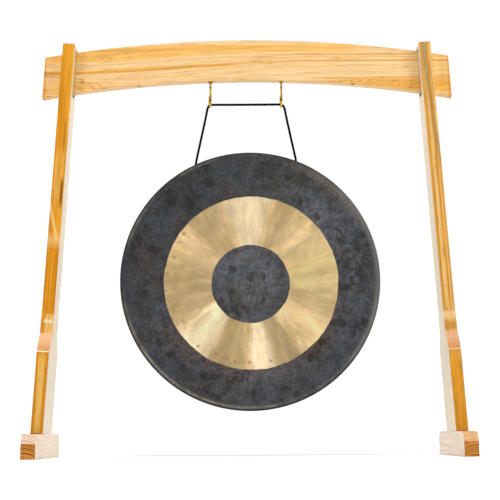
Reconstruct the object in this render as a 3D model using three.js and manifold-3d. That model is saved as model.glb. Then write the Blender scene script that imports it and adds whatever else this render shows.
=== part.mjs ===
// Gong stand: two leaning board legs on runner feet, an arched beam through mortises near
// their tops, two screw hooks under the beam, and the gong that hangs from them on a cord.
// Millimetres, +Z up, +Y to the rear, origin on the floor under the stand's middle.
import * as THREE from "three";
import { mergeVertices } from "three/addons/utils/BufferGeometryUtils.js";
import Module from "manifold-3d";

const wasm = await Module();
wasm.setup();

// Driving sizes
const seat = 0.3; // clearance left where two pieces touch
const overrun = 12; // how far a cut runs past the faces that it cuts
const easedEdge = 1.6; // width of the eased edges on the boards
const weld = 0.001; // vertices closer than this are one

const foot = {
  length: 356,
  width: 33,
  height: 54.5,
  spacing: 960.6, // between the middles of the two runners
  chamferLength: 18,
  chamferHeight: 21.5,
};

const leg = {
  thickness: 28.6,
  upperDepth: 70,
  lowerDepth: 131,
  arrisDepth: 87, // over the crisp edges between cove and shoulder
  coveDepth: 60, // where the cove's two curves would meet, which sets its hollow
  ledge: 1.6, // step under the shoulder's curve
  shoulderHeight: 241, // of the deep lower part above the floor
  shoulderRise: 46, // from there to the crisp edges
  coveRise: 46, // from the crisp edges to the slim upper part
  horn: 16.8, // how far the leg stands above the beam
  leanDegrees: 3.5,
};

const beam = {
  thickness: 25,
  middleDepth: 99, // from its crown down to its underside
  topHeight: 989.3, // of its crown above the floor
  topRadius: 2926.5,
  undersideRadius: 2863.5,
  endReach: 44.5, // how far its top runs on past the outer faces of the legs
};

const mortise = {
  frontWall: 21.5,
  frontGap: 5, // play in front of the beam, which lies against the rear wall
  topGap: 3,
};

const hook = {
  spacing: 170,
  offCentre: -3, // the pair sits slightly to the left
  wireRadius: 2.25,
  bendRadius: 8, // of the wire's middle
  projection: 62.6, // from the beam's underside to the lowest point
  tipHeight: 28, // of the open end above the lowest point
  threadLength: 24,
  collarRadius: 5.5,
  collarThickness: 1.6,
};

const gong = {
  radius: 305,
  thickness: 2.8,
  edgeRadius: 8, // outside radius where the face turns back into the rim
  rimDepth: 36,
  rimTaper: 3, // how much smaller the rim is at its open end
  crown: 5, // how far the middle of the face stands proud
  hang: 425.25, // from the hooks' bends down to the gong's middle
  offCentre: 4.3,
  turnDegrees: 1.7,
  holeAngleDegrees: 22.9, // of each hanging hole from the gong's own top
  holeSetback: 12, // behind the face's edge
  holeRadius: 3.6,
  facets: 84, // round its edge
};

const cord = {
  radius: 2.5,
  sides: 8,
  steps: 76,
};

const knot = {
  radius: 6.4,
  length: 15,
};

const footScrew = {
  spacing: 76, // front to rear
  length: 82,
  headRadius: 4.6,
  headHeight: 4,
  shankRadius: 2.4,
  counterbore: 14,
  counterboreRadius: 5.4,
};

const beamScrew = {
  length: 32,
  headRadius: 3.8,
  headHeight: 3.2,
  shankRadius: 1.9,
  inset: 0.6, // of its head behind the leg's rear face
};

// The cord's route from knot to knot, chosen by hand along the real one
const cordRoute = [
  [-121.3, 21.3, 685.3], [-122.6, 21.3, 688.2], [-123.5, 21.3, 690.8], [-123.8, 21.3, 693.4],
  [-123.5, 21.3, 696.0], [-116.4, 19.0, 728.5], [-109.2, 16.7, 761.1], [-102.0, 14.3, 793.6],
  [-95.1, 12.1, 826.4], [-93.7, 12.0, 829.8], [-91.4, 12.0, 832.6], [-88.2, 12.0, 834.3],
  [-84.6, 12.0, 834.9], [-45.0, 12.0, 834.9], [-3.0, 12.0, 834.9], [40.0, 12.0, 834.9],
  [78.6, 12.0, 834.9], [82.2, 12.0, 834.3], [85.4, 12.0, 832.6], [87.7, 12.0, 829.8],
  [89.1, 12.1, 826.4], [95.5, 14.3, 795.3], [102.1, 16.7, 764.4], [108.7, 19.0, 733.6],
  [115.3, 21.3, 702.7], [115.6, 21.3, 700.4], [115.4, 21.3, 698.1], [114.7, 21.3, 695.6],
  [113.4, 21.3, 692.4],
];

// Sizes that follow from the driving ones
const lean = THREE.MathUtils.degToRad(leg.leanDegrees);
const mortiseFront = mortise.frontWall - leg.upperDepth / 2;
const beamMiddle = mortiseFront + mortise.frontGap + beam.thickness / 2;
const undersideMiddle = beam.topHeight - beam.middleDepth;
const hookDrop = hook.projection - hook.bendRadius - hook.wireRadius;
const hookReach = hook.spacing / 2 + Math.abs(hook.offCentre);
const hookHeight = heightOnArc(undersideMiddle, beam.undersideRadius, hookReach) - seat;
const swing = new THREE.Vector3(0, beamMiddle + hook.bendRadius, hookHeight - hookDrop);

// Finishes
const pine = new THREE.MeshStandardMaterial({ color: 0xe6b86e, roughness: 0.45, metalness: 0 });
const bronze = new THREE.MeshStandardMaterial({ color: 0x4d4a48, roughness: 0.5, metalness: 0.8 });
const brass = new THREE.MeshStandardMaterial({ color: 0xc89a3c, roughness: 0.3, metalness: 1 });
const steel = new THREE.MeshStandardMaterial({ color: 0xa8a9ab, roughness: 0.35, metalness: 1 });
const blackCord = new THREE.MeshStandardMaterial({ color: 0x121214, roughness: 0.9, metalness: 0 });

// Height of an arc whose crown is at `crown`, at the distance x from its middle.
function heightOnArc(crown, radius, x) {
  return crown - radius + Math.sqrt(radius * radius - x * x);
}

function namedMesh(name, geometry, material) {
  const mesh = new THREE.Mesh(geometry, material.clone());
  mesh.name = name;
  return mesh;
}

// A closed geometry as a solid that can be joined and cut.
function solidOf(geometry) {
  const bare = geometry.index ? geometry.toNonIndexed() : geometry.clone();
  bare.deleteAttribute("normal");
  bare.deleteAttribute("uv");
  const merged = mergeVertices(bare, weld);
  return new wasm.Manifold(
    new wasm.Mesh({
      numProp: 3,
      vertProperties: merged.attributes.position.array,
      triVerts: new Uint32Array(merged.index.array),
    }),
  );
}

function geometryOf(solid) {
  const made = solid.getMesh();
  const indexed = new THREE.BufferGeometry();
  indexed.setAttribute("position", new THREE.BufferAttribute(made.vertProperties, 3));
  indexed.setIndex(new THREE.BufferAttribute(made.triVerts, 1));
  const flat = indexed.toNonIndexed();
  flat.computeVertexNormals();
  return flat;
}

// A board: an outline extruded over its thickness, centred on it, with eased long edges.
function board(outline, thickness, curveSegments) {
  const geometry = new THREE.ExtrudeGeometry(outline, {
    depth: thickness - 2 * easedEdge,
    curveSegments,
    bevelEnabled: true,
    bevelThickness: easedEdge,
    bevelSize: easedEdge,
    bevelOffset: -easedEdge,
    bevelSegments: 2,
  });
  return geometry.translate(0, 0, easedEdge - thickness / 2);
}

// A drill along +Z from the origin.
function drill(radius, length) {
  const geometry = new THREE.CylinderGeometry(radius, radius, length, 24);
  return geometry.rotateX(Math.PI / 2).translate(0, 0, length / 2);
}

// A drill along +Z whose end flares to take a countersunk head, which starts at the origin.
function countersink(screw) {
  const head = screw.headRadius + seat;
  const shank = screw.shankRadius + seat;
  const profile = [
    new THREE.Vector2(0, -overrun),
    new THREE.Vector2(head, -overrun),
    new THREE.Vector2(head, seat),
    new THREE.Vector2(shank, screw.headHeight + seat),
    new THREE.Vector2(shank, screw.length + seat),
    new THREE.Vector2(0, screw.length + seat),
  ];
  return new THREE.LatheGeometry(profile, 24).rotateX(Math.PI / 2);
}

// A countersunk wood screw along +Z, its head's face at the origin.
function screwGeometry(screw) {
  const rimShare = 0.2;
  const taperShare = 0.12;
  const pointShare = 0.15;
  const profile = [
    new THREE.Vector2(0, 0),
    new THREE.Vector2(screw.headRadius, 0),
    new THREE.Vector2(screw.headRadius, screw.headHeight * rimShare),
    new THREE.Vector2(screw.shankRadius, screw.headHeight),
    new THREE.Vector2(screw.shankRadius, screw.length * (1 - taperShare)),
    new THREE.Vector2(screw.shankRadius * pointShare, screw.length),
    new THREE.Vector2(0, screw.length),
  ];
  return new THREE.LatheGeometry(profile, 20).rotateX(Math.PI / 2);
}

// A round bar or cord swept along a curve.
function swept(curve, radius, sides, steps) {
  const section = new THREE.Shape().absarc(0, 0, radius, 0, 2 * Math.PI);
  return new THREE.ExtrudeGeometry(section, {
    steps,
    curveSegments: sides / 2,
    extrudePath: curve,
  });
}

// Half of the leg's side outline climbs one edge; the other edge mirrors it.
function legOutline(bottom) {
  const swellShare = 0.62;
  const hollowShare = 0.42;
  const lower = leg.lowerDepth / 2;
  const curveEnd = lower - leg.ledge;
  const arris = leg.arrisDepth / 2;
  const upper = leg.upperDepth / 2;
  const cove = leg.coveDepth / 2;
  const shoulderV = upTheLeg(leg.shoulderHeight);
  const arrisV = upTheLeg(leg.shoulderHeight + leg.shoulderRise);
  const coveV = arrisV + leg.coveRise;
  const topV = whereArcMeets(beam.topHeight, beam.topRadius, 0) + leg.horn;
  const swellV = THREE.MathUtils.lerp(shoulderV, arrisV, swellShare);
  const swellHalf = THREE.MathUtils.lerp(arris, curveEnd, swellShare);
  const hollowV = THREE.MathUtils.lerp(arrisV, coveV, hollowShare);

  const outline = new THREE.Shape();
  outline.moveTo(-lower, bottom);
  outline.lineTo(lower, bottom);
  outline.lineTo(lower, shoulderV - leg.ledge);
  outline.lineTo(curveEnd, shoulderV);
  outline.bezierCurveTo(curveEnd, swellV, swellHalf, arrisV, arris, arrisV);
  outline.quadraticCurveTo(cove, hollowV, upper, coveV);
  outline.lineTo(upper, topV);
  outline.lineTo(-upper, topV);
  outline.lineTo(-upper, coveV);
  outline.quadraticCurveTo(-cove, hollowV, -arris, arrisV);
  outline.bezierCurveTo(-swellHalf, arrisV, -curveEnd, swellV, -curveEnd, shoulderV);
  outline.lineTo(-lower, shoulderV - leg.ledge);
  return outline;
}

// Distance along a leg, from the foot's top, of a point on its middle at this height.
function upTheLeg(height) {
  return (height - foot.height) / Math.cos(lean);
}

// A point of the right leg, from its distances up the leg and outward from the leg's middle.
function pointOfLeg(along, face) {
  const x = foot.spacing / 2 - along * Math.sin(lean) + face * Math.cos(lean);
  const z = foot.height + along * Math.cos(lean) + face * Math.sin(lean);
  return { x, z };
}

// Distance up a leg at which the line along one of its faces meets an arc of the beam.
function whereArcMeets(crown, radius, face) {
  let along = upTheLeg(crown);
  for (let pass = 0; pass < 12; pass++) {
    const { x, z } = pointOfLeg(along, face);
    along += heightOnArc(crown, radius, x) - z;
  }
  return along;
}

// Distance up a leg of the beam's screw, halfway up the beam.
function beamScrewAlong() {
  const low = whereArcMeets(undersideMiddle, beam.undersideRadius, 0);
  const high = whereArcMeets(beam.topHeight, beam.topRadius, 0);
  return (low + high) / 2;
}

// The through mortise, square to the leg. The beam rests on its outer lower edge.
function mortiseCut() {
  const outer = leg.thickness / 2;
  const bottom = whereArcMeets(undersideMiddle, beam.undersideRadius, outer) - seat;
  const top = whereArcMeets(beam.topHeight, beam.topRadius, -outer) + mortise.topGap;
  const width = mortise.frontGap + beam.thickness + seat;
  const cut = new THREE.BoxGeometry(leg.thickness + 2 * overrun, width, top - bottom);
  return cut.translate(0, mortiseFront + width / 2, (top + bottom) / 2);
}

// side is -1 on the left and 1 on the right. The board is cut level where it stands on the foot.
function legGeometry(side) {
  const outline = legOutline(-2 * overrun);
  const flat = board(outline, leg.thickness, 12);
  const upright = flat.rotateX(Math.PI / 2).rotateZ(Math.PI / 2);
  const underFoot = new THREE.BoxGeometry(leg.lowerDepth, 2 * leg.lowerDepth, 6 * overrun);
  underFoot.translate(0, 0, seat - 3 * overrun).rotateY(side * lean);
  let solid = solidOf(upright).subtract(solidOf(underFoot)).subtract(solidOf(mortiseCut()));
  for (const place of footScrewPlaces()) {
    const hole = countersink(footScrew).translate(0, place, footScrew.counterbore - foot.height);
    solid = solid.subtract(solidOf(hole.rotateY(side * lean)));
  }
  const rearHole = countersink(beamScrew).rotateX(Math.PI / 2);
  rearHole.translate(0, leg.upperDepth / 2 - beamScrew.inset, beamScrewAlong());
  return geometryOf(solid.subtract(solidOf(rearHole)));
}

// A leg stands at the middle of its foot and leans in towards the beam.
function leaningGroup(side) {
  const group = new THREE.Group();
  group.position.set((side * foot.spacing) / 2, 0, foot.height);
  group.rotation.y = -side * lean;
  return group;
}

function footScrewPlaces() {
  return [-footScrew.spacing / 2, footScrew.spacing / 2];
}

function footOutline() {
  const half = foot.length / 2;
  const flatHalf = half - foot.chamferLength;
  const chamferBase = foot.height - foot.chamferHeight;
  const outline = new THREE.Shape();
  outline.moveTo(-half, 0);
  outline.lineTo(half, 0);
  outline.lineTo(half, chamferBase);
  outline.lineTo(flatHalf, foot.height);
  outline.lineTo(-flatHalf, foot.height);
  outline.lineTo(-half, chamferBase);
  return outline;
}

function footGeometry() {
  const flat = board(footOutline(), foot.width, 1);
  let solid = solidOf(flat.rotateX(Math.PI / 2).rotateZ(Math.PI / 2));
  for (const place of footScrewPlaces()) {
    const hole = countersink(footScrew).translate(0, place, footScrew.counterbore);
    const entry = drill(footScrew.counterboreRadius, footScrew.counterbore + overrun);
    entry.translate(0, place, -overrun);
    solid = solid.subtract(solidOf(hole)).subtract(solidOf(entry));
  }
  return geometryOf(solid);
}

// The beam's ends are cut parallel to the legs.
function beamOutline() {
  const legOuter = pointOfLeg(
    whereArcMeets(beam.topHeight, beam.topRadius, leg.thickness / 2),
    leg.thickness / 2,
  );
  const topHalf = legOuter.x + beam.endReach;
  const topEnd = heightOnArc(beam.topHeight, beam.topRadius, topHalf);
  const lowEnd = heightOnArc(undersideMiddle, beam.undersideRadius, topHalf);
  const lowHalf = topHalf + (topEnd - lowEnd) * Math.tan(lean);
  const topAngle = Math.asin(topHalf / beam.topRadius);
  const lowAngle = Math.asin(lowHalf / beam.undersideRadius);
  const topMiddle = beam.topHeight - beam.topRadius;
  const lowMiddle = undersideMiddle - beam.undersideRadius;
  const up = Math.PI / 2;
  const outline = new THREE.Shape();
  outline.absarc(0, lowMiddle, beam.undersideRadius, up + lowAngle, up - lowAngle, true);
  outline.absarc(0, topMiddle, beam.topRadius, up - topAngle, up + topAngle, false);
  return outline;
}

function hookPlaces() {
  return [-1, 1].map((side) => hook.offCentre + (side * hook.spacing) / 2);
}

// The middle of a beam screw's head, on the given side.
function beamScrewPlace(side) {
  const { x, z } = pointOfLeg(beamScrewAlong(), 0);
  return new THREE.Vector3(side * x, leg.upperDepth / 2 - beamScrew.inset, z);
}

function beamGeometry() {
  const upright = board(beamOutline(), beam.thickness, 24).rotateX(Math.PI / 2);
  let solid = solidOf(upright.translate(0, beamMiddle, 0));
  for (const x of hookPlaces()) {
    const hole = drill(hook.wireRadius + seat, hook.threadLength + seat + overrun);
    solid = solid.subtract(solidOf(hole.translate(x, beamMiddle, hookHeight - overrun)));
  }
  for (const side of [-1, 1]) {
    const hole = drill(beamScrew.shankRadius + seat, beamScrew.length + seat);
    hole.rotateX(Math.PI / 2).translate(...beamScrewPlace(side).toArray());
    solid = solid.subtract(solidOf(hole));
  }
  return geometryOf(solid);
}

// Origin where the shank enters the beam. The bend opens to the rear.
function hookGeometry() {
  const turns = 10;
  const points = [
    new THREE.Vector3(0, 0, hook.threadLength),
    new THREE.Vector3(0, 0, hook.threadLength / 2),
    new THREE.Vector3(0, 0, -hookDrop / 3),
    new THREE.Vector3(0, 0, (-2 * hookDrop) / 3),
  ];
  for (let turn = 0; turn <= turns; turn++) {
    const angle = (Math.PI * turn) / turns;
    const y = hook.bendRadius * (1 - Math.cos(angle));
    points.push(new THREE.Vector3(0, y, -hookDrop - hook.bendRadius * Math.sin(angle)));
  }
  const tip = hook.tipHeight - hook.bendRadius - hook.wireRadius;
  points.push(new THREE.Vector3(0, 2 * hook.bendRadius, tip / 2 - hookDrop));
  points.push(new THREE.Vector3(0, 2 * hook.bendRadius, tip - hookDrop));
  const middle = new THREE.CatmullRomCurve3(points, false, "centripetal");
  const wire = swept(middle, hook.wireRadius, 10, 40);
  const collar = new THREE.CylinderGeometry(
    hook.collarRadius,
    hook.collarRadius,
    hook.collarThickness,
    24,
  );
  collar.rotateX(Math.PI / 2).translate(0, 0, -hook.collarThickness / 2);
  return geometryOf(solidOf(wire).add(solidOf(collar)));
}

// Half profile of the gong: x is the distance from its axis and y runs back from the face's edge.
function gongProfile() {
  const outer = gong.radius;
  const edge = gong.edgeRadius;
  const inside = edge - gong.thickness;
  const crownSteps = 5;
  const bendSteps = 6;
  const face = [];
  const back = [];
  for (let step = 0; step < crownSteps; step++) {
    const r = ((outer - edge) * step) / crownSteps;
    const proud = gong.crown * (1 - (step / crownSteps) ** 2);
    face.push(new THREE.Vector2(r, -proud));
    back.push(new THREE.Vector2(r, gong.thickness - proud));
  }
  for (let step = 0; step <= bendSteps; step++) {
    const angle = (Math.PI / 2) * (step / bendSteps);
    const across = outer - edge;
    face.push(new THREE.Vector2(across + edge * Math.sin(angle), edge - edge * Math.cos(angle)));
    back.push(new THREE.Vector2(across + inside * Math.sin(angle), edge - inside * Math.cos(angle)));
  }
  const lip = outer - gong.rimTaper;
  face.push(new THREE.Vector2(lip, gong.rimDepth));
  back.push(new THREE.Vector2(lip - gong.thickness, gong.rimDepth));
  return [...face, ...back.reverse()];
}

// Depth of a solid's centre of mass, from the signed tetrahedra under its triangles.
function balanceDepth(geometry) {
  const position = geometry.getAttribute("position");
  const [a, b, c] = [new THREE.Vector3(), new THREE.Vector3(), new THREE.Vector3()];
  let volume = 0;
  let moment = 0;
  for (let i = 0; i < position.count; i += 3) {
    a.fromBufferAttribute(position, i);
    b.fromBufferAttribute(position, i + 1);
    c.fromBufferAttribute(position, i + 2);
    const tetrahedron = a.dot(b.clone().cross(c)) / 6;
    volume += tetrahedron;
    moment += (tetrahedron * (a.y + b.y + c.y)) / 4;
  }
  return moment / volume;
}

// Turns a piece that lies along +Z to the direction of one hanging hole, outward from the middle.
function towardsHole(geometry, side) {
  return geometry.rotateY(side * THREE.MathUtils.degToRad(gong.holeAngleDegrees));
}

function gongGeometry() {
  let solid = solidOf(new THREE.LatheGeometry(gongProfile(), gong.facets));
  for (const side of [-1, 1]) {
    const hole = drill(gong.holeRadius, 2 * overrun);
    hole.translate(0, gong.holeSetback, gong.radius - overrun);
    solid = solid.subtract(solidOf(towardsHole(hole, side)));
  }
  return geometryOf(solid);
}

// An end knot, drawn up against the inside of the rim at its hole.
function knotGeometry(side) {
  const radius = knot.radius;
  const shape = new THREE.SphereGeometry(radius, 16, 10);
  shape.scale(1, 1, knot.length / (2 * radius));
  const shrink = (gong.rimTaper * gong.holeSetback) / gong.rimDepth;
  const wall = gong.radius - shrink - gong.thickness;
  shape.translate(0, gong.holeSetback, wall - seat - knot.length / 2);
  return towardsHole(shape, side);
}

function cordGeometry() {
  const points = cordRoute.map(([x, y, z]) => new THREE.Vector3(x, y, z));
  const route = new THREE.CatmullRomCurve3(points, false, "centripetal");
  return swept(route, cord.radius, cord.sides, cord.steps);
}

// Places a screw that points up into the leg through the foot.
function footScrewMesh(name, side, place) {
  const mesh = namedMesh(name, screwGeometry(footScrew), steel);
  mesh.position.set((side * foot.spacing) / 2, place, footScrew.counterbore);
  return mesh;
}

// Places a screw that points forward through the mortise's rear wall into the beam.
function beamScrewMesh(name, side) {
  const mesh = namedMesh(name, screwGeometry(beamScrew), steel);
  mesh.position.copy(beamScrewPlace(side));
  mesh.rotation.x = Math.PI / 2;
  return mesh;
}

function standGroup() {
  const group = new THREE.Group();
  group.add(namedMesh("beam", beamGeometry(), pine));
  const [frontPlace, rearPlace] = footScrewPlaces();
  for (const [word, side] of [["left", -1], ["right", 1]]) {
    const leaning = leaningGroup(side);
    leaning.add(namedMesh(`${word}_leg`, legGeometry(side), pine));
    const runner = namedMesh(`${word}_foot`, footGeometry(), pine);
    runner.position.x = (side * foot.spacing) / 2;
    const ring = namedMesh(`${word}_hook`, hookGeometry(), brass);
    ring.position.set(hook.offCentre + (side * hook.spacing) / 2, beamMiddle, hookHeight);
    group.add(leaning, runner, ring);
    group.add(footScrewMesh(`${word}_front_foot_screw`, side, frontPlace));
    group.add(footScrewMesh(`${word}_rear_foot_screw`, side, rearPlace));
    group.add(beamScrewMesh(`${word}_beam_screw`, side));
  }
  return group;
}

// The gong hangs plumb: its centre of mass lies under the hooks' bends.
function hungGroup() {
  const disc = gongGeometry();
  const turned = new THREE.Group();
  turned.position.set(gong.offCentre, swing.y - balanceDepth(disc), swing.z - gong.hang);
  turned.rotation.y = -THREE.MathUtils.degToRad(gong.turnDegrees);
  turned.add(namedMesh("gong", disc, bronze));
  turned.add(namedMesh("left_knot", knotGeometry(-1), blackCord));
  turned.add(namedMesh("right_knot", knotGeometry(1), blackCord));
  const group = new THREE.Group();
  group.add(turned, namedMesh("hanging_cord", cordGeometry(), blackCord));
  return group;
}

const gongStand = new THREE.Group();
gongStand.add(standGroup(), hungGroup());

export default gongStand;
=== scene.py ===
"""Gong stand: pine legs, beam and runner feet, brass screw hooks, and the gong on its black cord."""
import math

import bmesh
import bpy
from mathutils import Euler, Matrix, Vector


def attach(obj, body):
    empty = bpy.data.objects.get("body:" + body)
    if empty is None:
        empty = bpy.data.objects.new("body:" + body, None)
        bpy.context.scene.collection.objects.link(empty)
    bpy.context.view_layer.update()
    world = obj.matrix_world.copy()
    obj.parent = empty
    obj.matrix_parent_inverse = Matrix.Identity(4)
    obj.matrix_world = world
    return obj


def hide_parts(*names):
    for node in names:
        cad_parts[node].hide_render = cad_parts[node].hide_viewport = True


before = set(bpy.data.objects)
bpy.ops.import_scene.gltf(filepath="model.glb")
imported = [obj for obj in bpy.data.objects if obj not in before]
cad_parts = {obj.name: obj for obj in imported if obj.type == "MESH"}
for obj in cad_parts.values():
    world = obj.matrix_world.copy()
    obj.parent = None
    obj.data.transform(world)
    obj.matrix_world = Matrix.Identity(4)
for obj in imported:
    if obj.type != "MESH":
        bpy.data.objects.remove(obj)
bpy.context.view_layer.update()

MM = 0.001
HALF_TURN = math.pi / 2
GONG_MIDDLE = Vector((4.3, 9.298, 411.05)) * MM
GONG_TURN = math.radians(1.7)
GONG_RADIUS = 307.2 * MM
GONG_EDGE = 8 * MM
GONG_CROWN = 5 * MM
# How the rim narrows: how far back, and by how much
RIM = ((15 * MM, 0.8 * MM), (25 * MM, 1.8 * MM), (36 * MM, 3 * MM))
WALL = 2.8 * MM
HOLE_ANGLE = math.radians(22.9)
HOLE_SETBACK = 12 * MM
HOLE_RADIUS = 3.6 * MM
LEAN = math.radians(3.5)
FOOT_MIDDLE = 480.3 * MM
FOOT_TOP = 54.5 * MM
CORD_RADIUS = 2.8 * MM
# The cord's route in mm, from the left rim hole over both hooks to the right one
CORD_ROUTE = [
    (-121.3, 21.3, 685.3), (-122.6, 21.3, 688.2), (-123.5, 21.3, 690.8), (-123.8, 21.3, 693.4),
    (-123.5, 21.3, 696.0), (-116.4, 19.0, 728.5), (-109.2, 16.7, 761.1), (-102.0, 14.3, 793.6),
    (-95.1, 12.1, 826.4), (-93.7, 12.0, 829.8), (-91.4, 12.0, 832.6), (-88.2, 12.0, 834.3),
    (-84.6, 12.0, 834.9), (-45.0, 12.0, 834.9), (-3.0, 12.0, 834.9), (40.0, 12.0, 834.9),
    (78.6, 12.0, 834.9), (82.2, 12.0, 834.3), (85.4, 12.0, 832.6), (87.7, 12.0, 829.8),
    (89.1, 12.1, 826.4), (95.5, 14.3, 795.3), (102.1, 16.7, 764.4), (108.7, 19.0, 733.6),
    (115.3, 21.3, 702.7), (115.6, 21.3, 700.4), (115.4, 21.3, 698.1), (114.7, 21.3, 695.6),
    (113.4, 21.3, 692.4),
]
# The cord's braid: strands that lie round it each way, and how many pass in one diameter along it
STRANDS = 8
BRAID_PITCH = 1.6


# Camera

def add_camera():
    lens = bpy.data.cameras.new("camera")
    lens.sensor_width = 36
    lens.lens = 90.51
    camera = bpy.data.objects.new("camera", lens)
    place = Matrix.Translation((-0.0126, -2.929, 0.0514))
    aim = Euler((math.radians(98.325), 0, math.radians(-0.327))).to_matrix().to_4x4()
    roll = Matrix.Rotation(math.radians(-0.409), 4, "Z")
    camera.matrix_world = place @ aim @ roll
    bpy.context.collection.objects.link(camera)
    bpy.context.scene.camera = camera


# Node trees

def give(tree, value, socket):
    """Feeds a socket from another one, or sets its value. A colour may leave out its alpha."""
    if isinstance(value, bpy.types.NodeSocket):
        tree.links.new(value, socket)
        return
    if socket.type == "RGBA" and len(value) == 3:
        value = (*value, 1)
    socket.default_value = value


def node(tree, kind, settings=None, **inputs):
    """Adds a node. Its inputs go by name, or by number as i0, i1 and so on."""
    made = tree.nodes.new(kind)
    for name, value in (settings or {}).items():
        setattr(made, name, value)
    for name, value in inputs.items():
        key = int(name[1:]) if name[1:].isdigit() else name.replace("_", " ")
        give(tree, value, made.inputs[key])
    return made


def maths(tree, operation, a, b=0.0):
    return node(tree, "ShaderNodeMath", {"operation": operation}, i0=a, i1=b).outputs[0]


def times(tree, first, *others):
    for other in others:
        first = maths(tree, "MULTIPLY", first, other)
    return first


def plus(tree, a, b):
    return maths(tree, "ADD", a, b)


def minus(tree, a, b):
    return maths(tree, "SUBTRACT", a, b)


def vector_maths(tree, operation, a, b=(0, 0, 0)):
    made = node(tree, "ShaderNodeVectorMath", {"operation": operation}, i0=a, i1=b)
    return made.outputs["Value" if operation == "LENGTH" else "Vector"]


def stretched(tree, place, scales):
    return vector_maths(tree, "MULTIPLY", place, scales)


def distance(tree, place, point):
    return vector_maths(tree, "LENGTH", vector_maths(tree, "SUBTRACT", place, tuple(point)))


def split(tree, vector):
    return node(tree, "ShaderNodeSeparateXYZ", Vector=vector).outputs


def ramp(tree, value, low, high, to_low=0.0, to_high=1.0):
    """Eases value from to_low at low to to_high at high."""
    return node(
        tree, "ShaderNodeMapRange", {"interpolation_type": "SMOOTHSTEP"},
        Value=value, From_Min=low, From_Max=high, To_Min=to_low, To_Max=to_high,
    ).outputs["Result"]


def fade(tree, value, low, high):
    """1 up to low, 0 from high on."""
    return ramp(tree, value, low, high, 1.0, 0.0)


def hump(tree, value, low, rises, falls, high):
    """0 up to low, 1 from rises to falls, and 0 again from high on."""
    return times(tree, ramp(tree, value, low, rises), fade(tree, value, falls, high))


def mixed(tree, share, a, b, blend="MIX"):
    settings = {"data_type": "RGBA", "blend_type": blend}
    return node(tree, "ShaderNodeMix", settings, i0=share, i6=a, i7=b).outputs[2]


def shaded(tree, colour, value):
    """Multiplies a colour by a grey value."""
    grey = node(tree, "ShaderNodeCombineColor", Red=value, Green=value, Blue=value).outputs[0]
    return mixed(tree, 1.0, colour, grey, "MULTIPLY")


def noise(tree, place, scale, detail=2.0, roughness=0.5, output="Fac", distortion=0.0):
    return node(
        tree, "ShaderNodeTexNoise", Vector=place,
        Scale=scale, Detail=detail, Roughness=roughness, Distortion=distortion,
    ).outputs[output]


def drawn_out(tree, place, scales, detail, roughness):
    """Noise stretched by its own scale along each axis."""
    return noise(tree, stretched(tree, place, scales), 1.0, detail, roughness)


def noise_along(tree, value, scale, detail):
    """Noise along a single value."""
    settings = {"noise_dimensions": "1D"}
    return node(tree, "ShaderNodeTexNoise", settings, W=value, Scale=scale, Detail=detail).outputs["Fac"]


FLOAT = "NodeSocketFloat"
VECTOR = "NodeSocketVector"
COLOUR = "NodeSocketColor"


def new_group(name, inputs, outputs):
    """A node group with named sockets. Inputs give (name, kind, default), outputs (name, kind)."""
    group = bpy.data.node_groups.new(name, "ShaderNodeTree")
    for label, kind, default in inputs:
        socket = group.interface.new_socket(label, in_out="INPUT", socket_type=kind)
        if default is not None:
            socket.default_value = default
    for label, kind in outputs:
        group.interface.new_socket(label, in_out="OUTPUT", socket_type=kind)
    start = group.nodes.new("NodeGroupInput")
    return group, start.outputs


def closed_group(group, **outputs):
    """Feeds the group's outputs."""
    end = group.nodes.new("NodeGroupOutput")
    for label, socket in outputs.items():
        group.links.new(socket, end.inputs[label])
    return group


def use_group(tree, group, **inputs):
    return node(tree, "ShaderNodeGroup", {"node_tree": group}, **inputs).outputs


def new_material(name):
    material = bpy.data.materials.new(name)
    material.use_nodes = True
    tree = material.node_tree
    return material, tree, tree.nodes["Principled BSDF"], tree.nodes.new("ShaderNodeTexCoord").outputs


def bump(tree, height, distance):
    return node(tree, "ShaderNodeBump", Height=height, Distance=distance).outputs["Normal"]


# Pine

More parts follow.
